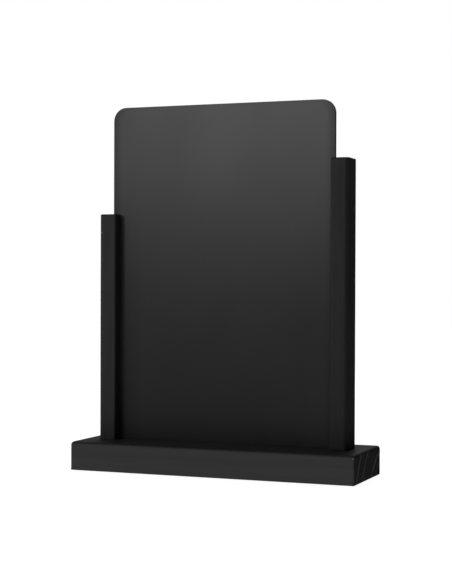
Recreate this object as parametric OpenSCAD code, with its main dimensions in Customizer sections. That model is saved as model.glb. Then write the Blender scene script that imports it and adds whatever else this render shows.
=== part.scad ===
// Table-top menu chalkboard.
// A double-sided writing panel stands on a wooden base plank, between two
// grooved uprights of different height, and lifts straight out of them.
//
// Frame: millimetres, +Z up, the panel's front face looks along -Y.
// The origin lies on the table, under the middle of the base.

/* [Writing panel] */
// Width of the panel
panel_width = 210; // [160:1:300]
// Height of the panel
panel_height = 300; // [280:1:420]
// Thickness of the finished panel, both writing sheets included
panel_thickness = 3; // [2.4:0.1:5]
// Thickness of each writing sheet
sheet_thickness = 0.5; // [0.3:0.1:0.8]
// Radius of the panel's two upper corners
panel_corner_radius = 12; // [3:1:40]
// Radius of the panel's two lower corners, which stand beside the uprights
panel_foot_radius = 1.5; // [0.5:0.5:3]
// How far the panel stands off centre in its grooves, negative to the left
panel_offset = -2.9; // [-3.2:0.1:3.2]

/* [Base plank] */
// Depth of the base from front to back
base_depth = 80; // [70:1:120]
// Thickness of the base
base_thickness = 25.5; // [20:0.5:32]
// How far the base runs on past each upright
base_end_margin = 14; // [10:1:60]
// Radius of the long upper edges of the base
base_edge_radius = 3; // [1.5:0.5:8]

/* [Uprights] */
// Width of each upright, across the panel
upright_width = 16.5; // [14:0.5:24]
// Depth of each upright, front to back
upright_depth = 24; // [22:1:36]
// Height of the left upright above the base
left_upright_height = 203.5; // [60:0.5:260]
// Height of the right upright above the base
right_upright_height = 249; // [60:0.5:260]
// Radius of the uprights' two outer edges
upright_outer_radius = 4; // [1.5:0.5:6]
// Depth of the groove that the panel's edge runs in
groove_depth = 7.5; // [7.5:0.5:9]
// Free play between the panel and each wall of its groove
groove_play = 0.3; // [0.2:0.1:0.6]

/* [Screws and feet] */
// Length of each wood screw, head included
screw_length = 45; // [42:1:55]
// Outer diameter of the screw thread
screw_diameter = 4; // [3.5:0.5:4.5]
// Diameter of each rubber foot under the base
foot_diameter = 14; // [10:1:18]
// How far the feet stand out under the base
foot_stand_off = 0.8; // [0.4:0.1:1.4]

/* [Hidden] */

$fn = 48;
eps = 0.01;

// Signs of the two sides and of the two faces
left = -1;
right = 1;
front = -1;
back = 1;

// Colours
lacquer_black = [0.07, 0.07, 0.075];
board_black = [0.12, 0.12, 0.125];
core_black = [0.05, 0.05, 0.05];
zinc_grey = [0.62, 0.62, 0.6];
rubber_black = [0.1, 0.1, 0.1];

// Panel and grooves. The panel's two edges together reach this far into the grooves.
panel_engagement = 8;
upright_gap = panel_width - panel_engagement;
core_thickness = panel_thickness - 2 * sheet_thickness;
groove_width = panel_thickness + 2 * groove_play;

// Uprights
upright_x = (upright_gap + upright_width) / 2;
upright_inner_radius = 1.5;
upright_top_radius = 1.2;

// Base
base_length = upright_gap + 2 * upright_width + 2 * base_end_margin;
base_bottom = foot_stand_off;
base_top = base_bottom + base_thickness;
base_lower_radius = 1;
base_upright_edge_radius = 1.5;
base_end_edge_radius = 2.5;

// Screws: the head is sunk below the underside of the base
screw_head_diameter = 8;
screw_head_rim = 0.5;
screw_head_height = screw_head_rim + (screw_head_diameter - screw_diameter) / 2;
screw_head_sink = 1;
screw_core_ratio = 0.68;
screw_core_diameter = screw_core_ratio * screw_diameter;
screw_pitch = 1.8;
screw_tip_length = 3;
screw_thread_length = 24;
screw_y = (groove_width + upright_depth) / 4;
screw_bottom = base_bottom + screw_head_sink;
screw_tip = screw_bottom + screw_length;
screw_hole_play = 0.3;
cross_slot_length = 4.4;
cross_slot_width = 0.9;
cross_slot_depth = 1.9;

// Rubber feet, each set into a recess
foot_recess = 1.2;
foot_edge_radius = 0.6;
foot_hole_play = 0.2;
foot_end_inset = 14;
foot_side_inset = 13;
foot_x = base_length / 2 - foot_end_inset;
foot_y = base_depth / 2 - foot_side_inset;

// Rectangle centred on the origin, with its own radius at each corner.
// The corners run from the lower left, anticlockwise.
module rounded_rectangle(size, radii) {
    corners = [[-1, -1], [1, -1], [1, 1], [-1, 1]];
    difference() {
        square(size, center = true);
        for (i = [0:3])
            if (radii[i] > 0)
                translate([corners[i].x * size.x / 2, corners[i].y * size.y / 2])
                    corner_waste(corners[i], radii[i]);
    }
}

// What rounding takes away at a corner that lies on the origin and points towards sign
module corner_waste(sign, radius) {
    difference() {
        translate(sign * (eps - radius) / 2)
            square(radius + eps, center = true);
        translate(-sign * radius)
            circle(r = radius);
    }
}

// Block from z = 0 up. plan, side and face are the radii of its outlines, seen from
// above, along X and along Y. The three outlines together ease every edge.
module eased_block(size, plan, side, face) {
    intersection() {
        linear_extrude(size.z)
            rounded_rectangle([size.x, size.y], plan);
        translate([-size.x / 2, 0, size.z / 2])
            rotate([90, 0, 90])
                linear_extrude(size.x)
                    rounded_rectangle([size.y, size.z], side);
        translate([0, size.y / 2, size.z / 2])
            rotate([90, 0, 0])
                linear_extrude(size.y)
                    rounded_rectangle([size.x, size.z], face);
    }
}

module base() {
    upright_edges = [for (i = [0:3]) base_upright_edge_radius];
    long_edges = [base_lower_radius, base_lower_radius, base_edge_radius, base_edge_radius];
    end_edges = [base_lower_radius, base_lower_radius, base_end_edge_radius, base_end_edge_radius];
    color(lacquer_black)
        difference() {
            translate([0, 0, base_bottom])
                eased_block([base_length, base_depth, base_thickness],
                            upright_edges, long_edges, end_edges);
            for (side = [left, right], face = [front, back]) {
                translate([side * upright_x, face * screw_y, 0])
                    screw_hole();
                translate([side * foot_x, face * foot_y, base_bottom - eps])
                    cylinder(h = foot_recess + eps, d = foot_diameter + foot_hole_play);
            }
        }
}

// Clearance hole through the base, with the countersink for the head at its lower end
module screw_hole() {
    hole_diameter = screw_diameter + screw_hole_play;
    head_diameter = screw_head_diameter + screw_hole_play;
    rim_top = screw_bottom + screw_head_rim;
    cone_height = (head_diameter - hole_diameter) / 2;
    translate([0, 0, base_bottom - eps])
        cylinder(h = base_thickness + 2 * eps, d = hole_diameter);
    translate([0, 0, base_bottom - eps])
        cylinder(h = rim_top - base_bottom + eps, d = head_diameter);
    translate([0, 0, rim_top])
        cylinder(h = cone_height, d1 = head_diameter, d2 = hole_diameter);
}

module left_upright() {
    upright(left, left_upright_height);
}

module right_upright() {
    upright(right, right_upright_height);
}

// Post with its groove on the side that faces the panel
module upright(side, height) {
    mirror([side == right ? 1 : 0, 0, 0])
        color(lacquer_black)
            translate([-upright_x, 0, base_top])
                difference() {
                    upright_block(height);
                    translate([upright_width / 2 - groove_depth, -groove_width / 2, -eps])
                        cube([groove_depth + eps, groove_width, height + 2 * eps]);
                    for (face = [front, back])
                        translate([0, face * screw_y, -eps])
                            cylinder(h = screw_tip - base_top + eps, d = screw_core_diameter);
                }
}

// The post before the groove is cut, with its outer side towards -X
module upright_block(height) {
    outer = upright_outer_radius;
    inner = upright_inner_radius;
    top = upright_top_radius;
    eased_block([upright_width, upright_depth, height],
                [outer, inner, inner, outer], [0, 0, top, top], [0, 0, top, top]);
}

// Slab with the panel's outline, standing on the base
module panel_slab(thickness, y) {
    radii = [panel_foot_radius, panel_foot_radius, panel_corner_radius, panel_corner_radius];
    translate([panel_offset, y + thickness / 2, base_top + panel_height / 2])
        rotate([90, 0, 0])
            linear_extrude(thickness)
                rounded_rectangle([panel_width, panel_height], radii);
}

module panel_core() {
    color(core_black)
        panel_slab(core_thickness, 0);
}

module front_writing_sheet() {
    color(board_black)
        panel_slab(sheet_thickness, front * (core_thickness + sheet_thickness) / 2);
}

module back_writing_sheet() {
    color(board_black)
        panel_slab(sheet_thickness, back * (core_thickness + sheet_thickness) / 2);
}

// Half outline of a wood screw from the middle of its head up to its tip.
// The thread is a row of equal ridges, each half a pitch wide at its root.
function screw_outline() =
    let (
        core = screw_core_diameter / 2,
        outer = screw_diameter / 2,
        thread_start = screw_length - screw_tip_length - screw_thread_length,
        ridges = floor(screw_thread_length / screw_pitch)
    )
    concat(
        [[0, 0],
         [screw_head_diameter / 2, 0],
         [screw_head_diameter / 2, screw_head_rim],
         [core, screw_head_height + outer - core],
         [core, thread_start]],
        [for (i = [0:ridges - 1], step = [0:2])
            [step == 1 ? outer : core, thread_start + screw_pitch * (i + 0.25 + step * 0.25)]],
        [[core, screw_length - screw_tip_length],
         [0, screw_length]]
    );

module screw(side, face) {
    color(zinc_grey)
        translate([side * upright_x, face * screw_y, screw_bottom])
            difference() {
                rotate_extrude()
                    polygon(screw_outline());
                for (angle = [45, 135])
                    rotate(angle)
                        translate([-cross_slot_length / 2, -cross_slot_width / 2, -eps])
                            cube([cross_slot_length, cross_slot_width, cross_slot_depth + eps]);
            }
}

module left_front_screw() {
    screw(left, front);
}

module left_back_screw() {
    screw(left, back);
}

module right_front_screw() {
    screw(right, front);
}

module right_back_screw() {
    screw(right, back);
}

// Round rubber foot with a rounded lower rim, glued into its recess
module foot(side, face) {
    radius = foot_diameter / 2;
    height = foot_stand_off + foot_recess;
    color(rubber_black)
        translate([side * foot_x, face * foot_y, 0])
            rotate_extrude()
                union() {
                    translate([0, foot_edge_radius])
                        square([radius, height - foot_edge_radius]);
                    square([radius - foot_edge_radius, height]);
                    translate([radius - foot_edge_radius, foot_edge_radius])
                        circle(r = foot_edge_radius);
                }
}

module left_front_foot() {
    foot(left, front);
}

module left_back_foot() {
    foot(left, back);
}

module right_front_foot() {
    foot(right, front);
}

module right_back_foot() {
    foot(right, back);
}

base();
left_upright();
right_upright();
panel_core();
front_writing_sheet();
back_writing_sheet();
left_front_screw();
left_back_screw();
right_front_screw();
right_back_screw();
left_front_foot();
left_back_foot();
right_front_foot();
right_back_foot();
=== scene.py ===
"""Looks of the table-top menu chalkboard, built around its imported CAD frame.

Units are metres and +Z is up. The front of the writing panel looks along -Y and the base runs along X.
"""
import math

import bmesh
import bpy
from mathutils import Matrix, Vector, noise


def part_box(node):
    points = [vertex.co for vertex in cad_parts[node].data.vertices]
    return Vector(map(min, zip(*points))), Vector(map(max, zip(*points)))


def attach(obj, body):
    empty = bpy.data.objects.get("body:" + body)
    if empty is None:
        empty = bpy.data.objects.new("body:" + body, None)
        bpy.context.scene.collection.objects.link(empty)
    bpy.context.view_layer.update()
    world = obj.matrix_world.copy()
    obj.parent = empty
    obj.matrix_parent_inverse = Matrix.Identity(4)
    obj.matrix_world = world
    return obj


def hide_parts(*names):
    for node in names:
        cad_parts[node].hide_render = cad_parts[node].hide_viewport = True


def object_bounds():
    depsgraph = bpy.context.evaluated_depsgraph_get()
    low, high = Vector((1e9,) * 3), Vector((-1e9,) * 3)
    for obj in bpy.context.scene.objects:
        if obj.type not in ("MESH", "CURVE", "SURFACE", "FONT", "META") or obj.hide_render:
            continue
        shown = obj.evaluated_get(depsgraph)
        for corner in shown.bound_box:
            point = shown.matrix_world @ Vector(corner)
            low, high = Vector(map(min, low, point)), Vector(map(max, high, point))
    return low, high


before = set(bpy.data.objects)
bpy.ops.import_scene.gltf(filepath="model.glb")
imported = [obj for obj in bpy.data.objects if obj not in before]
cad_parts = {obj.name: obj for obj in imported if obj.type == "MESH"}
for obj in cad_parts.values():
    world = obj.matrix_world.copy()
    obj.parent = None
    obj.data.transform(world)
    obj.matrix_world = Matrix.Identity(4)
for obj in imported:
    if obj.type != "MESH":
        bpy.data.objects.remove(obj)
cad_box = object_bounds()

MM = 0.001

# ---------------------------------------------------------------- sizes

# Edge radii and grooves, as the CAD part has them
BASE_LONG_EDGE = 3.0 * MM
BASE_LOWER_EDGE = 1.0 * MM
BASE_UPRIGHT_EDGE = 1.5 * MM
BASE_END_EDGE = 2.5 * MM
POST_OUTER_EDGE = 4.0 * MM
POST_INNER_EDGE = 1.5 * MM
POST_TOP_EDGE = 1.2 * MM
PANEL_CORNER = 12.0 * MM
PANEL_FOOT_CORNER = 1.5 * MM
GROOVE_DEPTH = 7.5 * MM
GROOVE_WIDTH = 3.6 * MM

# Small easings that the CAD part leaves sharp
GROOVE_EASE = 0.35 * MM
POST_FOOT_EDGE = 0.2 * MM
SHEET_EDGE = 0.12 * MM
CORE_EDGE = 0.2 * MM

# Steps of a quarter turn: round a section's corner, and over an eased end edge
ARC_STEPS = 10
EASE_STEPS = 6
# Straight stretch between an eased end and the first loop along the side
END_MARGIN = 0.5 * MM
# Spacing of the points round a section, and of the loops along the piece
BASE_SPACING = 0.8 * MM
BASE_GAP = 2.2 * MM
POST_SPACING = 0.8 * MM
POST_GAP = 2.5 * MM
PLATE_SPACING = 4 * MM
PLATE_GAP = 4 * MM
# Spacing of the loops on the end faces, as a share of the spacing round the section
BASE_CAP = 0.7
POST_CAP = 0.8
PLATE_CAP = 2.0
# Close loops round a dent
MARK_STEP = 0.3 * MM
MARK_LOOPS = 7
# Segments of the round pieces and holes
FOOT_SEGMENTS = 64
HOLE_SEGMENTS = 48
SCREW_SEGMENTS = 32
# Largest angle between faces, in degrees, that is still shaded smooth
SMOOTH_ANGLE = 35
SCREW_SMOOTH_ANGLE = 40

# End grain of the base: the growth rings' centre, as depth from the middle and height over the
# underside, and the radii in mm and strengths of the hard rings that stand proud
BASE_PITH = (58 * MM, -38 * MM)
BASE_RINGS = [54.0, 61.6, 70.0, 77.0, 84.4, 92.0, 99.5, 106.0]
BASE_RING_STRENGTHS = [0.3, 1.0, 0.15, 0.2, 0.9, 0.2, 1.0, 0.15]
RING_RELIEF = 0.2 * MM
# End grain of the posts' tops, measured from the middle of the section
POST_PITH = (30 * MM, 22 * MM)
POST_RINGS = [18.0, 22.5, 26.0, 31.0, 35.5, 39.0, 44.0, 48.0, 52.0]
POST_RING_STRENGTHS = [0.6, 0.4, 0.8, 0.5, 0.7, 0.4, 0.8, 0.5, 0.6]
POST_RING_RELIEF = 0.08 * MM
# How wide a ring is, and how far it wanders and over what length
RING_WIDTH = 1.25 * MM
RING_WANDER = 1.6 * MM
RING_WANDER_SIZE = 22 * MM
# A ring's strength, how much that varies along the ring, and over what length
RING_MEAN = 0.75
RING_BREAK = 0.4
RING_BREAK_SIZE = 4 * MM
# Share of a ring's strength at which the end face is level
RING_LEVEL_SHARE = 0.4
# How squarely a surface faces along the grain where it starts to show end grain
END_FACING = 0.6
# Torn grain on the ends and unevenness of the sides: height and size of their features
END_ROUGHNESS = 0.05 * MM
END_ROUGHNESS_SIZE = 1.5 * MM
SIDE_UNEVENNESS = 0.04 * MM
BASE_UNEVENNESS_SIZE = 14 * MM
POST_UNEVENNESS_SIZE = 11 * MM
# How much the unevenness is drawn out along the grain
BASE_DRAW = 0.4
POST_DRAW = 0.35
# How ragged the outline of each chip and of the painted highlight spot is, and the size of their
# notches
CHIP_AND_HIGHLIGHT_RAGGED = 0.5
CHIP_AND_HIGHLIGHT_NOTCH_SIZE = 0.7 * MM
# Seeds of the noise; each post adds its side to its own two
BASE_UNEVENNESS_SEED = 1
POST_UNEVENNESS_SEED = 2
BASE_RING_SEED = 3
END_ROUGHNESS_SEED = 5
POST_RING_SEED = 9
CHIP_AND_HIGHLIGHT_SEED = 11
# Small chips in the lacquer, and one painted highlight spot, in each block's own frame: place, radius
# and depth
BASE_CHIPS_AND_HIGHLIGHT = [
    # A dent on the base's front-top-right corner, whose light bare-wood colour is a painted highlight
    # of that rounded corner
    (Vector((-39.9 * MM, 9.9 * MM, 261.9 * MM)), 0.9 * MM, 0.3 * MM),
    (Vector((39.6 * MM, 10.6 * MM, 38 * MM)), 0.8 * MM, 0.25 * MM),
]
POST_CHIPS = {
    "left_upright": [(Vector((-5.9 * MM, -11.7 * MM, 187 * MM)), 0.9 * MM, 0.35 * MM)],
    "right_upright": [(Vector((6.4 * MM, 11.4 * MM, 96 * MM)), 0.8 * MM, 0.25 * MM)],
}

# Screws and their holes
SCREWS = ["left_front_screw", "left_back_screw", "right_front_screw", "right_back_screw"]
SCREW_SHANK = 2.0 * MM
SCREW_CORE = 1.36 * MM
SCREW_RIM = 0.5 * MM
SCREW_CROWN = 0.15 * MM
SCREW_PITCH = 1.8 * MM
SCREW_THREAD_START = 18 * MM
SCREW_TIP = 4 * MM
SCREW_ROWS = 110
# Half the width of the thread's ridge, as a share of the pitch
RIDGE_HALF = 0.25
# The neck, from before the end of the head's cone to after it, and the first row of the core beyond.
# All three are measured from the end of the cone
NECK_BEFORE = 0.3 * MM
NECK_AFTER = 0.5 * MM
ROWS_AFTER = 1.0 * MM
# The cross recess, at its mouth and at its floor: height over the head, half length, half width
RECESS = [
    (-0.2 * MM, 2.3 * MM, 0.5 * MM),
    (1.9 * MM, 0.9 * MM, 0.32 * MM),
]
RECESS_ANGLES = (45, 135)
SCREW_HOLE_PLAY = 0.15 * MM
HOLE_TOP = 40 * MM

# Feet and their recesses
FEET = ["left_front_foot", "left_back_foot", "right_front_foot", "right_back_foot"]
FOOT_HOLE_PLAY = 0.1 * MM
FOOT_RIM = 0.6 * MM
FOOT_RIM_STEPS = 6
FOOT_TOP_EDGE = 0.2 * MM
FOOT_DISH = 0.12 * MM
# The dish from the middle out, as shares of the foot's radius and of the dish's depth
DISH_PROFILE = [(0, 1), (0.3, 1), (0.55, 0.6), (0.72, 0)]

# How far a cutter reaches out of the piece that it cuts
CUTTER_REACH = 2 * MM


# ---------------------------------------------------------------- mesh building


def outline(half_u, half_v, radii, spacing):
    """Rounded rectangle, anticlockwise, as (point, outward normal, room for an inset, on a corner).

    Opposite sides get the same number of steps. The steps of the bottom and of the right side follow.
    """
    signs = [(-1, -1), (1, -1), (1, 1), (-1, 1)]
    arcs = []
    for i, (sign_u, sign_v) in enumerate(signs):
        centre = Vector((sign_u * (half_u - radii[i]), sign_v * (half_v - radii[i])))
        arc = []
        for k in range(ARC_STEPS + 1):
            angle = math.pi * (1 + i / 2 + k / ARC_STEPS / 2)
            normal = Vector((math.cos(angle), math.sin(angle)))
            arc.append((centre + radii[i] * normal, normal, radii[i], 1.0))
        arcs.append(arc)
    runs = [(arcs[(i + 1) % 4][0][0] - arcs[i][-1][0]).length for i in range(4)]
    counts = [max(1, round(max(runs[i], runs[i + 2]) / spacing)) for i in range(2)]
    samples = []
    for i, arc in enumerate(arcs):
        samples += arc
        start, normal, room, _ = arc[-1]
        end, _, end_room, _ = arcs[(i + 1) % 4][0]
        steps = counts[i % 2]
        for k in range(1, steps):
            point = start.lerp(end, k / steps)
            free = min(room + runs[i] * k / steps, end_room + runs[i] * (1 - k / steps))
            samples.append((point, normal, free, 0.0))
    return samples, counts


def closing_faces(loop, counts, tall):
    """Faces that close the innermost loop of an end face, bridged across its narrow way.

    counts are the outline's steps of the bottom and of the right side. tall says that the section
    is higher than wide.
    """
    corner = ARC_STEPS + 1
    first = corner + counts[0] - 1 if tall else 0
    turned = loop[first:] + loop[:first]
    chain = 2 * corner + counts[1 if tall else 0] - 1
    side = counts[0 if tall else 1] - 1
    near = turned[:chain]
    right = turned[chain : chain + side]
    far = turned[chain + side : 2 * chain + side][::-1]
    left = turned[2 * chain + side :]
    faces = [[near[i], near[i + 1], far[i + 1], far[i]] for i in range(1, chain - 2)]
    faces.append([near[0], near[1], far[1], far[0]] + left)
    faces.append([near[-2], near[-1]] + right + [far[-1], far[-2]])
    return faces


def mesh_object(name, vertices, faces, attributes=None):
    """Mesh object with outward normals and float attributes on its points."""
    mesh = bpy.data.meshes.new(name)
    mesh.from_pydata(vertices, [], faces)
    for key, values in (attributes or {}).items():
        mesh.attributes.new(key, "FLOAT", "POINT").data.foreach_set("value", values)
    work = bmesh.new()
    work.from_mesh(mesh)
    bmesh.ops.recalc_face_normals(work, faces=work.faces)
    work.to_mesh(mesh)
    work.free()
    mesh.update()
    piece = bpy.data.objects.new(name, mesh)
    bpy.context.scene.collection.objects.link(piece)
    return piece


def smooth(piece, angle):
    """Smooth shading, with the edges sharper than angle kept sharp."""
    piece.data.shade_smooth()
    piece.data.set_sharp_from_angle(angle=math.radians(angle))


def along_places(start, end, gap, marks):
    """Places from start to end about gap apart, and close together round each mark."""
    steps = max(1, round((end - start) / gap))
    places = [start + (end - start) * k / steps for k in range(steps + 1)]
    reach = MARK_STEP * (MARK_LOOPS + 1)
    for mark in marks:
        near = [mark + MARK_STEP * k for k in range(-MARK_LOOPS, MARK_LOOPS + 1)]
        places = [w for w in places if abs(w - mark) > reach or w in (start, end)]
        places += [w for w in near if start < w < end]
    return sorted(places)


def no_relief(point, normal):
    """Relief of a plain surface."""
    return 0.0, 0.0, 0.0, 0.0


def eased_bar(
    name, size, radii, length, end_radii, spacing, gap, cap, place, relief=no_relief, marks=()
):
    """Bar with a rounded rectangular section and eased ends.

    size is (u, v) of the section and radii its corners. end_radii gives the easing at the start and
    at the end for a section normal. spacing parts the points round the section and gap the loops
    along the bar, cap scales the spacing of the loops on the end faces, and marks are places along
    the bar that need close loops. place turns (u, v, w) into the row frame. relief gives how far the
    surface stands out at a place with a normal, and the shares of end grain, growth ring, and chips
    with the painted highlight spot.
    """
    samples, counts = outline(size[0] / 2, size[1] / 2, radii, spacing)
    count = len(samples)
    vertices = []
    normals = []
    edge = []

    def side_loop(w):
        """Loop round the straight part of the bar."""
        for point, normal, _, corner in samples:
            vertices.append(Vector((point.x, point.y, w)))
            normals.append(Vector((normal.x, normal.y, 0)))
            edge.append(corner)

    def easing_loop(at_end, angle):
        """Loop on an eased end edge. angle goes from 0 at the side to a right angle at the end face."""
        for point, normal, room, corner in samples:
            ease = min(end_radii[at_end](normal), room)
            inset = ease * (1 - math.cos(angle))
            depth = ease * (1 - math.sin(angle))
            flat = point - normal * inset
            along = math.sin(angle) * (1 if at_end else -1)
            vertices.append(Vector((flat.x, flat.y, length - depth if at_end else depth)))
            normals.append(Vector((normal.x * math.cos(angle), normal.y * math.cos(angle), along)))
            edge.append(max(corner, math.sin(2 * angle)))

    def cap_loops(at_end):
        """Loops on an end face, from the inside out at the start and from the outside in at the end."""
        flat = []
        for point, normal, room, _ in samples:
            flat.append(point - normal * min(end_radii[at_end](normal), room))
        low = Vector((min(p.x for p in flat), min(p.y for p in flat)))
        high = Vector((max(p.x for p in flat), max(p.y for p in flat)))
        middle = (low + high) / 2
        half = (high - low) / 2
        thin = min(half)
        steps = max(2, round(thin / (spacing * cap)))
        order = range(1, steps) if at_end else range(steps - 1, 0, -1)
        for k in order:
            shrink = thin * k / steps
            factor = Vector(((half.x - shrink) / half.x, (half.y - shrink) / half.y))
            for p in flat:
                point = middle + (p - middle) * factor
                vertices.append(Vector((point.x, point.y, length if at_end else 0)))
                normals.append(Vector((0, 0, 1 if at_end else -1)))
                edge.append(0.0)

    cap_loops(0)
    for k in range(EASE_STEPS, -1, -1):
        easing_loop(0, math.pi / 2 * k / EASE_STEPS)
    margin = max(easing(normal) for easing in end_radii for _, normal, _, _ in samples) + END_MARGIN
    if length > 2 * margin:
        for w in along_places(margin, length - margin, gap, marks):
            side_loop(w)
    for k in range(EASE_STEPS + 1):
        easing_loop(1, math.pi / 2 * k / EASE_STEPS)
    cap_loops(1)

    placed = []
    shares = {"edge": edge, "end": [], "ring": [], "chip_and_highlight": []}
    for point, normal in zip(vertices, normals):
        out, end, ring, chip_and_highlight = relief(point, normal)
        placed.append(place(*(point + normal * out)))
        shares["end"].append(end)
        shares["ring"].append(ring)
        shares["chip_and_highlight"].append(chip_and_highlight)
    loops = len(placed) // count
    tall = size[1] > size[0]
    faces = closing_faces(list(range(count)), counts, tall)
    faces += closing_faces(list(range((loops - 1) * count, loops * count)), counts, tall)
    for i in range(loops - 1):
        a = i * count
        b = a + count
        for j in range(count):
            following = (j + 1) % count
            faces.append([a + j, a + following, b + following, b + j])
    return mesh_object(name, placed, faces, shares)


def revolved(name, profile, segments, origin, radius_at=None):
    """Solid of revolution from (radius, height) pairs that start and end on the axis.

    origin is the axis's point at height 0. radius_at changes the radius at a height and an angle.
    """
    vertices = [origin + Vector((0, 0, profile[0][1]))]
    faces = []
    rows = profile[1:-1]
    for radius, height in rows:
        for j in range(segments):
            angle = 2 * math.pi * j / segments
            r = radius_at(radius, height, angle) if radius_at else radius
            vertices.append(origin + Vector((r * math.cos(angle), r * math.sin(angle), height)))
    vertices.append(origin + Vector((0, 0, profile[-1][1])))
    last = len(vertices) - 1
    top = 1 + (len(rows) - 1) * segments
    for j in range(segments):
        following = (j + 1) % segments
        faces.append([0, 1 + following, 1 + j])
        faces.append([last, top + j, top + following])
        for i in range(len(rows) - 1):
            a = 1 + i * segments
            b = a + segments
            faces.append([a + j, a + following, b + following, b + j])
    return mesh_object(name, vertices, faces)


def cut(piece, cutters):
    """Takes the cutters out of the piece and removes them."""
    for cutter in cutters:
        modifier = piece.modifiers.new("cut", "BOOLEAN")
        modifier.operation = "DIFFERENCE"
        modifier.solver = "EXACT"
        modifier.object = cutter
    graph = bpy.context.evaluated_depsgraph_get()
    result = bpy.data.meshes.new_from_object(piece.evaluated_get(graph), depsgraph=graph)
    piece.modifiers.clear()
    piece.data = result
    for cutter in cutters:
        bpy.data.objects.remove(cutter)


# ---------------------------------------------------------------- materials


class NodeTree:
    """Adds nodes to one node tree and links them."""

    def __init__(self, tree):
        self.tree = tree

    def add(self, kind, inputs, output=0, **settings):
        """Adds a node. Each input is a number, a colour or another node's output."""
        node = self.tree.nodes.new(kind)
        for key, value in settings.items():
            setattr(node, key, value)
        for key, value in inputs.items():
            self.feed(node, key, value)
        return node.outputs[output]

    def feed(self, node, key, value):
        """Links an output to a node's input, or sets the input's value."""
        if isinstance(value, bpy.types.NodeSocket):
            self.tree.links.new(value, node.inputs[key])
        else:
            node.inputs[key].default_value = value

    def math(self, operation, *values):
        """One arithmetic step on up to three values."""
        return self.add("ShaderNodeMath", dict(enumerate(values)), operation=operation)

    def ramp(self, value, low, high, start=0.0, end=1.0):
        """Takes value from low..high to start..end, held at the ends."""
        limits = {"Value": value, "From Min": low, "From Max": high, "To Min": start, "To Max": end}
        return self.add("ShaderNodeMapRange", limits, clamp=True, interpolation_type="SMOOTHSTEP")


class Shader(NodeTree):
    """The node tree of one material, with its Principled BSDF in bsdf."""

    def __init__(self, name):
        self.material = bpy.data.materials.new(name)
        self.material.use_nodes = True
        super().__init__(self.material.node_tree)
        self.bsdf = self.tree.nodes["Principled BSDF"]

    def place(self, scale=(1, 1, 1)):
        """Object coordinates in metres, scaled."""
        coordinates = self.add("ShaderNodeTexCoord", {}, output="Object")
        return self.add("ShaderNodeMapping", {"Vector": coordinates, "Scale": scale})

    def noise(self, vector, scale, detail=3.0, roughness=0.5):
        """Fractal noise around 0.5, with scale features to one unit of the vector."""
        settings = {"Vector": vector, "Scale": scale, "Detail": detail, "Roughness": roughness}
        return self.add("ShaderNodeTexNoise", settings, output="Fac", noise_dimensions="3D")

    def mix(self, share, first, second):
        """Mix of two colours."""
        node = self.tree.nodes.new("ShaderNodeMix")
        node.data_type = "RGBA"
        self.feed(node, "Factor", share)
        self.feed(node, 6, first)
        self.feed(node, 7, second)
        return node.outputs[2]

    def attribute(self, name):
        """A float attribute of the mesh's points."""
        return self.add("ShaderNodeAttribute", {}, output="Fac", attribute_name=name)

    def bump(self, height, distance, strength=1.0, under=None):
        """Normal bent by a height between 0 and 1, which stands for distance."""
        inputs = {"Height": height, "Distance": distance, "Strength": strength}
        if under is not None:
            inputs["Normal"] = under
        return self.add("ShaderNodeBump", inputs)

    def set(self, **inputs):
        """Sets sockets of the Principled BSDF, named with _ for a space."""
        for key, value in inputs.items():
            self.feed(self.bsdf, key.replace("_", " "), value)


def grey(value, warmth=0.0):
    """Grey as a colour, a little warmer or cooler."""
    return (value * (1 + warmth), value, value * (1 - warmth), 1.0)


# Grey levels of the lacquer on the base and on the posts, of the end grain and of its hard rings
# The base and the posts have one lacquer: the base's level is painted light and the posts' level
# painted shade, for how light falls on them
BASE_LIT_LEVEL = 0.023
POST_SHADED_LEVEL = 0.0075
END_GRAIN_LEVEL = 0.007
RING_LEVEL = 0.075
# Bare wood where the lacquer is chipped, darker and lighter; the same colours paint the highlight spot
# on the base's front-top-right corner
BARE_DARK_AND_HIGHLIGHT = (0.10, 0.085, 0.07, 1.0)
BARE_LIGHT_AND_HIGHLIGHT = (0.17, 0.15, 0.13, 1.0)
LACQUER_ROUGHNESS = 0.52
BOARD_ROUGHNESS = 0.30
# Noise scales of the wood along its grain and across it
GRAIN_ALONG = 14.0
GRAIN_ACROSS = 420.0
FIGURE_SHARE = 1 / 6
# The white paper glows a little so that it stays white, less near the object and fully far away
FLOOR_GLOW = 0.93
FLOOR_NEAR = 0.2
FLOOR_FAR = 1.0


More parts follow.
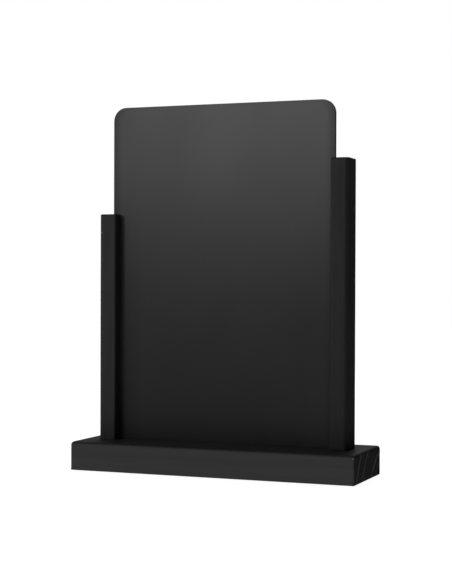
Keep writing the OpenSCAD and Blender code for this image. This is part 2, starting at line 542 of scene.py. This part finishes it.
def lacquered_wood(name, grain_axis, level):
    """Satin black lacquer over open-grained wood. grain_axis is 0 for X and 2 for Z, level its grey,
    which is painted lighter on the base and darker on the posts for how light falls on them.
    """
    shader = Shader(name)
    scale = [GRAIN_ACROSS] * 3
    scale[grain_axis] = GRAIN_ALONG
    stretched = shader.place(scale)
    plain = shader.place()
    pores = shader.noise(stretched, 1.0, detail=5.0, roughness=0.65)
    figure = shader.noise(shader.place([k * FIGURE_SHARE for k in scale]), 1.0, detail=3.0)
    cloud = shader.noise(plain, 28.0, detail=2.0)
    ring = shader.attribute("ring")
    edge = shader.attribute("edge")
    nicks = shader.noise(plain, 900.0, detail=2.0, roughness=0.7)
    patches = shader.noise(plain, 45.0, detail=1.0)

    # colour: black, a little greyer in the figure, lighter on hard rings, bare wood where it is chipped
    # and on a painted highlight spot
    figured = shader.mix(shader.ramp(figure, 0.35, 0.7), grey(level), grey(level * 1.35, 0.02))
    ended = shader.mix(shader.attribute("end"), figured, grey(END_GRAIN_LEVEL))
    ringed = shader.mix(ring, ended, grey(RING_LEVEL, 0.03))
    nicked = shader.math("MULTIPLY", shader.ramp(nicks, 0.66, 0.72), shader.ramp(patches, 0.56, 0.66))
    wear_and_highlight = shader.math("MULTIPLY", nicked, shader.ramp(edge, 0.35, 0.9))
    ragged = shader.math("MULTIPLY_ADD", shader.noise(plain, 2400.0, detail=3.0), 0.9, -0.45)
    # Mask of the chips and of the painted highlight spot on the base's front-top-right corner, both in
    # bare-wood colours
    chip_and_highlight = shader.ramp(shader.math("ADD", shader.attribute("chip_and_highlight"), ragged), 0.42, 0.6)
    wear_and_highlight = shader.math("MAXIMUM", wear_and_highlight, chip_and_highlight)
    bare_wood_and_highlight = shader.mix(shader.noise(stretched, 2.0), BARE_DARK_AND_HIGHLIGHT, BARE_LIGHT_AND_HIGHLIGHT)
    coloured = shader.mix(wear_and_highlight, ringed, bare_wood_and_highlight)

    # gloss: duller where the lacquer sinks into the pores, and a little brighter on the hard rings
    sunk = shader.ramp(pores, 0.3, 0.62, 0.11, 0.0)
    clouded = shader.ramp(cloud, 0.3, 0.7, -0.03, 0.03)
    gloss = shader.math("ADD", shader.math("ADD", sunk, clouded), LACQUER_ROUGHNESS)
    gloss = shader.math("ADD", gloss, shader.math("MULTIPLY", ring, -0.08))

    relief = shader.bump(shader.ramp(pores, 0.3, 0.62), 0.07 * MM, 0.8)
    relief = shader.bump(shader.noise(plain, 1800.0, detail=2.0), 0.01 * MM, 0.6, under=relief)
    shader.set(Base_Color=coloured, Roughness=gloss, Normal=relief, Specular_IOR_Level=0.5)
    return shader.material


def chalk_laminate(name):
    """Matt black writing laminate, wiped clean."""
    shader = Shader(name)
    plain = shader.place()
    wipes = shader.noise(shader.place((18.0, 18.0, 5.0)), 1.0, detail=4.0, roughness=0.6)
    haze = shader.noise(plain, 12.0, detail=3.0)
    specks = shader.noise(plain, 2600.0, detail=1.0)
    grit = shader.noise(plain, 1500.0, detail=3.0, roughness=0.6)
    base = shader.mix(shader.ramp(haze, 0.3, 0.7), grey(0.0150), grey(0.0172))
    dusted = shader.mix(shader.ramp(wipes, 0.5, 0.8, 0.0, 0.5), base, grey(0.021))
    specked = shader.mix(shader.ramp(specks, 0.68, 0.78, 0.0, 0.6), dusted, grey(0.05))
    gloss = shader.math("ADD", shader.ramp(wipes, 0.3, 0.8, -0.015, 0.03), BOARD_ROUGHNESS)
    relief = shader.bump(grit, 0.022 * MM, 0.7)
    shader.set(Base_Color=specked, Roughness=gloss, Normal=relief, Specular_IOR_Level=0.5)
    return shader.material


def dyed_fibreboard(name):
    """Sanded edge of black dyed fibreboard."""
    shader = Shader(name)
    layers = shader.noise(shader.place((900.0, 4200.0, 900.0)), 1.0, detail=4.0)
    colour = shader.mix(shader.ramp(layers, 0.35, 0.7), grey(0.009), grey(0.019, 0.03))
    shader.set(Base_Color=colour, Roughness=0.62, Normal=shader.bump(layers, 0.03 * MM))
    return shader.material


def zinc_plate(name):
    """Bright zinc plate with a faint drawn texture."""
    shader = Shader(name)
    streaks = shader.noise(shader.place((3000.0, 3000.0, 600.0)), 1.0, detail=3.0)
    colour = shader.mix(shader.ramp(streaks, 0.3, 0.7), grey(0.42), grey(0.6, 0.01))
    gloss = shader.ramp(streaks, 0.3, 0.7, 0.26, 0.4)
    shader.set(Base_Color=colour, Roughness=gloss, Metallic=1.0)
    return shader.material


def black_rubber(name):
    """Moulded black rubber with a dusty, slightly grained skin."""
    shader = Shader(name)
    skin = shader.noise(shader.place(), 1400.0, detail=4.0, roughness=0.6)
    dust = shader.noise(shader.place(), 220.0, detail=2.0)
    colour = shader.mix(shader.ramp(dust, 0.4, 0.75), grey(0.014), grey(0.034, 0.02))
    gloss = shader.ramp(skin, 0.3, 0.7, 0.6, 0.8)
    shader.set(Base_Color=colour, Roughness=gloss, Normal=shader.bump(skin, 0.05 * MM))
    return shader.material


def studio_floor(name):
    """Plain white paper."""
    shader = Shader(name)
    fibres = shader.noise(shader.place(), 300.0, detail=3.0)
    colour = shader.mix(fibres, grey(0.80), grey(0.83))
    shader.set(Base_Color=colour, Roughness=0.9, Specular_IOR_Level=0.1)
    apart = shader.add("ShaderNodeVectorMath", {0: shader.place()}, output="Value", operation="LENGTH")
    glow = shader.ramp(apart, FLOOR_NEAR, FLOOR_FAR, FLOOR_GLOW, 1.0)
    shader.set(Emission_Color=(1, 1, 1, 1), Emission_Strength=glow)
    return shader.material


# One lacquer in a lit and a shaded copy: painted lighter on the base and darker on the posts
base_wood = lacquered_wood("base_lacquered_wood", 0, BASE_LIT_LEVEL)
post_wood = lacquered_wood("post_lacquered_wood", 2, POST_SHADED_LEVEL)
laminate = chalk_laminate("chalk_laminate")
fibreboard = dyed_fibreboard("dyed_fibreboard")
zinc = zinc_plate("zinc_plate")
rubber = black_rubber("black_rubber")


def finish_piece(piece, body, material, slot, *nodes):
    """Gives the piece its material and body, and lets it stand for its CAD nodes."""
    piece.data.materials.clear()
    piece.data.materials.append(material)
    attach(piece, body)
    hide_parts(*nodes)


# ---------------------------------------------------------------- relief of the wood


def wave(point, size, seed):
    """Smooth noise from -1 to 1 with features of about that size."""
    return noise.noise(Vector(point) / size + Vector((seed * 7.3, seed * 3.1, seed * 5.7)))


def ring_line(depth, height, pith, radii, strengths, seed):
    """Strength of the hard growth ring at a place in the end grain, from 0 to 1."""
    place = (depth, height, 0)
    wander = RING_WANDER * wave(place, RING_WANDER_SIZE, seed)
    radius = math.hypot(depth - pith[0], height - pith[1]) + wander
    best = 0.0
    for ring, strength in zip(radii, strengths):
        off = (radius - ring * MM) / RING_WIDTH
        broken = RING_MEAN + RING_BREAK * wave(place, RING_BREAK_SIZE, seed + ring)
        best = max(best, strength * broken * math.exp(-off * off))
    return best


def smoothstep(value, low, high):
    """Smooth rise from 0 at low to 1 at high."""
    share = min(1.0, max(0.0, (value - low) / (high - low)))
    return share * share * (3 - 2 * share)


def chip_and_highlight_spots(point, chip_and_highlight_marks):
    """How deep the nearest mark is at a point, and its strength from 0 to 1. The marks are chips and
    one painted highlight spot.
    """
    depth = 0.0
    share = 0.0
    for centre, radius, deep in chip_and_highlight_marks:
        off = (point - centre).length / radius
        off *= 1 + CHIP_AND_HIGHLIGHT_RAGGED * wave(point, CHIP_AND_HIGHLIGHT_NOTCH_SIZE, CHIP_AND_HIGHLIGHT_SEED)
        bite = math.exp(-(off**3))
        depth = max(depth, deep * bite)
        share = max(share, bite)
    return depth, share


def wood_relief(point, normal, ring, end_relief, uneven, chip_and_highlight_marks):
    """Relief of a lacquered block: rings and torn grain on its ends, slight unevenness on its sides.

    It gives how far the surface stands out, and the shares of end grain, growth ring, and chips with
    the painted highlight spot.
    """
    end = smoothstep(abs(normal.z), END_FACING, 1.0)
    torn = END_ROUGHNESS * wave(point, END_ROUGHNESS_SIZE, END_ROUGHNESS_SEED)
    end_out = end_relief * (ring - RING_LEVEL_SHARE) + torn
    side_out = uneven - SIDE_UNEVENNESS / 2
    depth, chip_and_highlight = chip_and_highlight_spots(point, chip_and_highlight_marks)
    return end * end_out + (1 - end) * side_out - depth, end, end * ring, chip_and_highlight


# ---------------------------------------------------------------- the base plank

base_low, base_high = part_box("base")
base_size = base_high - base_low
base_middle = (base_low + base_high) / 2


def base_relief(point, normal):
    """Relief of the base, in its own frame of depth, height and length."""
    depth, height, along = point
    over_underside = height + base_size.z / 2
    ring = ring_line(depth, over_underside, BASE_PITH, BASE_RINGS, BASE_RING_STRENGTHS, BASE_RING_SEED)
    spot = (depth, height, along * BASE_DRAW)
    uneven = SIDE_UNEVENNESS * wave(spot, BASE_UNEVENNESS_SIZE, BASE_UNEVENNESS_SEED)
    return wood_relief(point, normal, ring, RING_RELIEF, uneven, BASE_CHIPS_AND_HIGHLIGHT)


def base_place(u, v, w):
    """From the base's own frame to the row frame."""
    return Vector((base_low.x + w, base_middle.y + u, base_middle.z + v))


def base_end_easing(normal):
    """Easing of the end edges: more at the top, less underneath."""
    if normal.y > 0:
        return BASE_UPRIGHT_EDGE + (BASE_END_EDGE - BASE_UPRIGHT_EDGE) * normal.y**2
    return BASE_UPRIGHT_EDGE + (BASE_LOWER_EDGE - BASE_UPRIGHT_EDGE) * normal.y**2


def build_base():
    """The plank, with its screw holes and the recesses of its feet."""
    base = eased_bar(
        "base_plank",
        (base_size.y, base_size.z),
        [BASE_LOWER_EDGE, BASE_LOWER_EDGE, BASE_LONG_EDGE, BASE_LONG_EDGE],
        base_size.x,
        [base_end_easing, base_end_easing],
        BASE_SPACING,
        BASE_GAP,
        BASE_CAP,
        base_place,
        base_relief,
    )
    cutters = [countersink_cutter(*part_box(node)) for node in SCREWS]
    cutters += [recess_cutter(*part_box(node)) for node in FEET]
    cut(base, cutters)
    smooth(base, SMOOTH_ANGLE)
    finish_piece(base, "stand", base_wood, "black_lacquered_wood", "base")


def countersink_cutter(low, high):
    """Clearance hole with its countersink, for the screw in that box."""
    middle = (low + high) / 2
    head = (high.x - low.x) / 2 + SCREW_HOLE_PLAY
    hole = SCREW_SHANK + SCREW_HOLE_PLAY
    rim = low.z + SCREW_RIM - base_low.z
    cone_top = rim + head - hole
    profile = [
        (0, -CUTTER_REACH),
        (head, -CUTTER_REACH),
        (head, rim),
        (hole, cone_top),
        (hole, HOLE_TOP),
        (0, HOLE_TOP),
    ]
    return revolved("cutter", profile, HOLE_SEGMENTS, Vector((middle.x, middle.y, base_low.z)))


def recess_cutter(low, high):
    """Shallow round recess for the foot in that box."""
    middle = (low + high) / 2
    radius = (high.x - low.x) / 2 + FOOT_HOLE_PLAY
    top = high.z - base_low.z
    profile = [(0, -CUTTER_REACH), (radius, -CUTTER_REACH), (radius, top), (0, top)]
    return revolved("cutter", profile, FOOT_SEGMENTS, Vector((middle.x, middle.y, base_low.z)))


# ---------------------------------------------------------------- the two posts


def build_post(node, side):
    """Grooved post. side is -1 for the left one, whose groove looks towards +X."""
    low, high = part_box(node)
    size = high - low
    middle = (low + high) / 2
    outer = POST_OUTER_EDGE
    inner = POST_INNER_EDGE

    def place(u, v, w):
        return Vector((middle.x + u, middle.y + v, low.z + w))

    def relief(point, normal):
        """Relief of the post. Its lower end stands on the base and stays plain."""
        if normal.z < -END_FACING:
            return 0.0, 1.0, 0.0, 0.0
        seed = POST_RING_SEED + side
        ring = ring_line(point.x, point.y, POST_PITH, POST_RINGS, POST_RING_STRENGTHS, seed)
        spot = (point.x, point.y, point.z * POST_DRAW)
        uneven = SIDE_UNEVENNESS * wave(spot, POST_UNEVENNESS_SIZE, POST_UNEVENNESS_SEED + side)
        return wood_relief(point, normal, ring, POST_RING_RELIEF, uneven, POST_CHIPS[node])

    post = eased_bar(
        node + "_wood",
        (size.x, size.y),
        [outer, inner, inner, outer] if side < 0 else [inner, outer, outer, inner],
        size.z,
        [lambda normal: POST_FOOT_EDGE, lambda normal: POST_TOP_EDGE],
        POST_SPACING,
        POST_GAP,
        POST_CAP,
        place,
        relief,
        marks=[centre.z for centre, _, _ in POST_CHIPS[node]],
    )
    cut(post, [groove_cutter(low, high, side)])
    smooth(post, SMOOTH_ANGLE)
    finish_piece(post, "stand", post_wood, "black_lacquered_wood", node)


def groove_cutter(low, high, side):
    """Slot with slightly eased mouth, through the whole height of the post in that box."""
    middle = (low + high) / 2
    face = low.x if side > 0 else high.x
    half = GROOVE_WIDTH / 2
    wide = half + GROOVE_EASE
    lower_half = [(GROOVE_DEPTH, -half), (GROOVE_EASE, -half), (0, -wide), (-CUTTER_REACH, -wide)]
    section = lower_half + [(depth, -y) for depth, y in reversed(lower_half)]
    vertices = []
    for z in (low.z - CUTTER_REACH, high.z + CUTTER_REACH):
        for depth, y in section:
            vertices.append((face + side * depth, middle.y + y, z))
    count = len(section)
    faces = [list(range(count)), list(range(count, 2 * count))]
    for j in range(count):
        following = (j + 1) % count
        faces.append([j, following, count + following, count + j])
    return mesh_object("cutter", vertices, faces)


# ---------------------------------------------------------------- the writing panel


def build_plate(name, node, easing, material, slot):
    """Thin plate with the panel's outline, in the space of its CAD node."""
    low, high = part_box(node)
    size = high - low
    middle = (low + high) / 2
    plate = eased_bar(
        name,
        (size.x, size.z),
        [PANEL_FOOT_CORNER, PANEL_FOOT_CORNER, PANEL_CORNER, PANEL_CORNER],
        size.y,
        [lambda normal: easing, lambda normal: easing],
        PLATE_SPACING,
        PLATE_GAP,
        PLATE_CAP,
        lambda u, v, w: Vector((middle.x + u, low.y + w, middle.z + v)),
    )
    smooth(plate, SMOOTH_ANGLE)
    finish_piece(plate, "panel", material, slot, node)


# ---------------------------------------------------------------- screws and feet


def build_screw(node):
    """Countersunk wood screw with a helical thread and a cross recess, head down."""
    low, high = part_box(node)
    middle = (low + high) / 2
    origin = Vector((middle.x, middle.y, low.z))
    head = (high.x - low.x) / 2
    length = high.z - low.z

    def radius_at(radius, height, angle):
        """Radius with the thread's ridge, which fades in at its start and out at the tip."""
        if height < SCREW_THREAD_START or radius > SCREW_SHANK:
            return radius
        turn = (height / SCREW_PITCH - angle / (2 * math.pi)) % 1.0
        ridge = max(0.0, 1 - abs(turn - 0.5) / RIDGE_HALF)
        taper = min(1.0, (length - height) / SCREW_TIP, (height - SCREW_THREAD_START) / SCREW_PITCH)
        return radius + (SCREW_SHANK - SCREW_CORE) * ridge * taper

    cone_top = SCREW_RIM + (head - SCREW_CORE)
    profile = [
        (0, 0),
        (head - SCREW_CROWN, 0),
        (head, SCREW_CROWN),
        (head, SCREW_RIM),
        (SCREW_CORE + NECK_BEFORE, cone_top - NECK_BEFORE),
        (SCREW_CORE, cone_top + NECK_AFTER),
    ]
    start = cone_top + ROWS_AFTER
    for k in range(SCREW_ROWS):
        height = start + (length - start) * k / SCREW_ROWS
        profile.append((SCREW_CORE * min(1.0, (length - height) / SCREW_TIP), height))
    profile.append((0, length))
    screw = revolved(node + "_steel", profile, SCREW_SEGMENTS, origin, radius_at)
    cut(screw, [cross_cutter(origin, angle) for angle in RECESS_ANGLES])
    smooth(screw, SCREW_SMOOTH_ANGLE)
    finish_piece(screw, "stand", zinc, "zinc_plated_steel", node)


def cross_cutter(origin, angle):
    """One wing of the cross recess: a blade that narrows as it goes in."""
    turn = Matrix.Rotation(math.radians(angle), 3, "Z")
    vertices = []
    for z, half_length, half_width in RECESS:
        for sign_u, sign_v in ((-1, -1), (1, -1), (1, 1), (-1, 1)):
            vertices.append(origin + turn @ Vector((sign_u * half_length, sign_v * half_width, z)))
    faces = [[0, 1, 2, 3], [4, 5, 6, 7]]
    for j in range(4):
        following = (j + 1) % 4
        faces.append([j, following, 4 + following, 4 + j])
    return mesh_object("cutter", vertices, faces)


def build_foot(node):
    """Round rubber foot with a rounded rim and a shallow dished middle."""
    low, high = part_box(node)
    middle = (low + high) / 2
    radius = (high.x - low.x) / 2
    height = high.z - low.z
    profile = [(radius * out, FOOT_DISH * deep) for out, deep in DISH_PROFILE]
    profile.append((radius - FOOT_RIM, 0))
    for k in range(1, FOOT_RIM_STEPS + 1):
        angle = math.pi / 2 * k / FOOT_RIM_STEPS
        inwards = FOOT_RIM * (1 - math.sin(angle))
        upwards = FOOT_RIM * (1 - math.cos(angle))
        profile.append((radius - inwards, upwards))
    profile += [(radius, height - FOOT_TOP_EDGE), (radius - FOOT_TOP_EDGE, height), (0, height)]
    foot = revolved(node + "_rubber", profile, FOOT_SEGMENTS, Vector((middle.x, middle.y, low.z)))
    smooth(foot, SMOOTH_ANGLE)
    finish_piece(foot, "stand", rubber, "black_rubber", node)


build_base()
build_post("left_upright", -1)
build_post("right_upright", 1)
build_plate("panel_core_board", "panel_core", CORE_EDGE, fibreboard, "dyed_fibreboard")
build_plate("front_laminate", "front_writing_sheet", SHEET_EDGE, laminate, "chalk_laminate")
build_plate("back_laminate", "back_writing_sheet", SHEET_EDGE, laminate, "chalk_laminate")
for screw_node in SCREWS:
    build_screw(screw_node)
for foot_node in FEET:
    build_foot(foot_node)

# ---------------------------------------------------------------- floor, light and camera

FLOOR_SIZE = 8.0
FLOOR_STEPS = 8

# Soft boxes: name, place, what it faces, its size and its power in watts
LIGHTS = [
    ("key_low", (-0.58, -1.58, 0.6), (0, 0, 0.6), (0.75, 0.5), 3.1),
    ("key_wide", (-0.65, -1.55, 0.85), (0, 0, 0.85), (1.0, 1.0), 0.9),
    ("low_left", (-0.9, -0.5, 0.2), (-0.1, 0, 0.1), (0.3, 0.3), 0.8),
    ("left", (-1.6, 0.1, 0.7), (0, 0, 0.15), (1.0, 1.0), 1.2),
    ("right", (1.2, -0.3, 0.6), (0, 0, 0.15), (0.7, 0.7), 0.2),
    ("overhead", (0, 0.1, 1.4), (0, 0, 0), (1.0, 1.0), 0.8),
    ("back", (0, 0.9, 0.9), (0, 0, 0), (1.0, 1.0), 1.2),
    ("back_left", (-0.4, 1.6, 0.7), (0, 0, 0.7), (0.8, 0.8), 0.4),
]
# Soft lobes of the room: azimuth from the front towards the right, elevation, and strength
ROOM_LOBES = [
    (-45, -25, 0.3),
    (-135, 25, 0.3),
]
LOBE_SHARPNESS = 12.0
ROOM_LEVEL = 0.004
# What gloss sees below the horizon, from how steep to how steep (as the sine) it fades in
GROUND_SHINE = 0.6
GROUND_FADE = (0.2, 0.6)
BACKDROP = 1.0
WHITE = (1, 1, 1, 1)

# Camera: the point it looks at, its distance, heading, pitch and roll, and its focal length
TARGET = Vector((1.36 * MM, 0, 160.14 * MM))
DISTANCE = 1266.84 * MM
YAW = math.radians(21.53)
PITCH = math.radians(0.58)
ROLL = math.radians(0.19)
FOCAL_LENGTH = 88.42
SENSOR = 36.0
CLIP_END = 50


def build_floor():
    """White paper under the object. It doesn't show in reflections."""
    vertices = []
    for i in range(FLOOR_STEPS + 1):
        for j in range(FLOOR_STEPS + 1):
            x = FLOOR_SIZE * (i / FLOOR_STEPS - 0.5)
            y = FLOOR_SIZE * (j / FLOOR_STEPS - 0.5)
            vertices.append((x, y, cad_box[0].z))
    faces = []
    row = FLOOR_STEPS + 1
    for i in range(FLOOR_STEPS):
        for j in range(FLOOR_STEPS):
            a = i * row + j
            faces.append([a, a + 1, a + row + 1, a + row])
    floor = mesh_object("studio_floor", vertices, faces)
    floor.data.materials.append(studio_floor("studio_floor"))
    floor.visible_glossy = False


def softbox(name, place, target, size, power):
    """Rectangular soft light that looks at target. power is in watts."""
    data = bpy.data.lights.new(name, "AREA")
    data.shape = "RECTANGLE"
    data.size, data.size_y = size
    data.energy = power
    light = bpy.data.objects.new(name, data)
    light.location = place
    direction = Vector(target) - Vector(place)
    light.rotation_euler = direction.to_track_quat("-Z", "Y").to_euler()
    light.visible_camera = False
    bpy.context.scene.collection.objects.link(light)


def build_world():
    """Dim studio made of soft lobes of light, with a white backdrop where no object is in view."""
    world = bpy.data.worlds.new("studio")
    world.use_nodes = True
    bpy.context.scene.world = world
    world.node_tree.nodes.clear()
    nodes = NodeTree(world.node_tree)
    direction = nodes.add("ShaderNodeTexCoord", {}, output="Generated")
    height = nodes.add("ShaderNodeSeparateXYZ", {"Vector": direction}, output="Z")
    low, high = GROUND_FADE
    total = nodes.ramp(height, -low, -high, 0.0, GROUND_SHINE)
    total = nodes.math("ADD", total, ROOM_LEVEL)
    for azimuth, elevation, strength in ROOM_LOBES:
        a = math.radians(azimuth)
        e = math.radians(elevation)
        axis = (math.sin(a) * math.cos(e), -math.cos(a) * math.cos(e), math.sin(e))
        sides = {0: direction, 1: axis}
        near = nodes.add("ShaderNodeVectorMath", sides, output="Value", operation="DOT_PRODUCT")
        near = nodes.math("SUBTRACT", near, 1.0)
        near = nodes.math("MULTIPLY", near, LOBE_SHARPNESS)
        lobe = nodes.math("EXPONENT", near)
        total = nodes.math("MULTIPLY_ADD", lobe, strength, total)
    room = nodes.add("ShaderNodeBackground", {"Color": WHITE, "Strength": total})
    backdrop = nodes.add("ShaderNodeBackground", {"Color": WHITE, "Strength": BACKDROP})
    seen = nodes.add("ShaderNodeLightPath", {}, output="Is Camera Ray")
    mixed = nodes.add("ShaderNodeMixShader", {"Fac": seen, 1: room, 2: backdrop})
    nodes.feed(world.node_tree.nodes.new("ShaderNodeOutputWorld"), "Surface", mixed)


def build_camera():
    """Camera at the photograph's viewing angle."""
    look = Vector((-math.sin(YAW) * math.cos(PITCH), math.cos(YAW) * math.cos(PITCH), -math.sin(PITCH)))
    side = Vector((math.cos(YAW), math.sin(YAW), 0))
    up = side.cross(look)
    right = side * math.cos(ROLL) + up * math.sin(ROLL)
    up = up * math.cos(ROLL) - side * math.sin(ROLL)
    data = bpy.data.cameras.new("camera")
    data.sensor_width = SENSOR
    data.lens = FOCAL_LENGTH
    data.clip_end = CLIP_END
    camera = bpy.data.objects.new("camera", data)
    rotation = Matrix((right, up, -look)).transposed().to_4x4()
    camera.matrix_world = Matrix.Translation(TARGET - look * DISTANCE) @ rotation
    bpy.context.scene.collection.objects.link(camera)
    bpy.context.scene.camera = camera


build_floor()
for light in LIGHTS:
    softbox(*light)
build_world()
build_camera()
bpy.context.scene.view_settings.view_transform = "Standard"
bpy.context.scene.view_settings.look = "None"
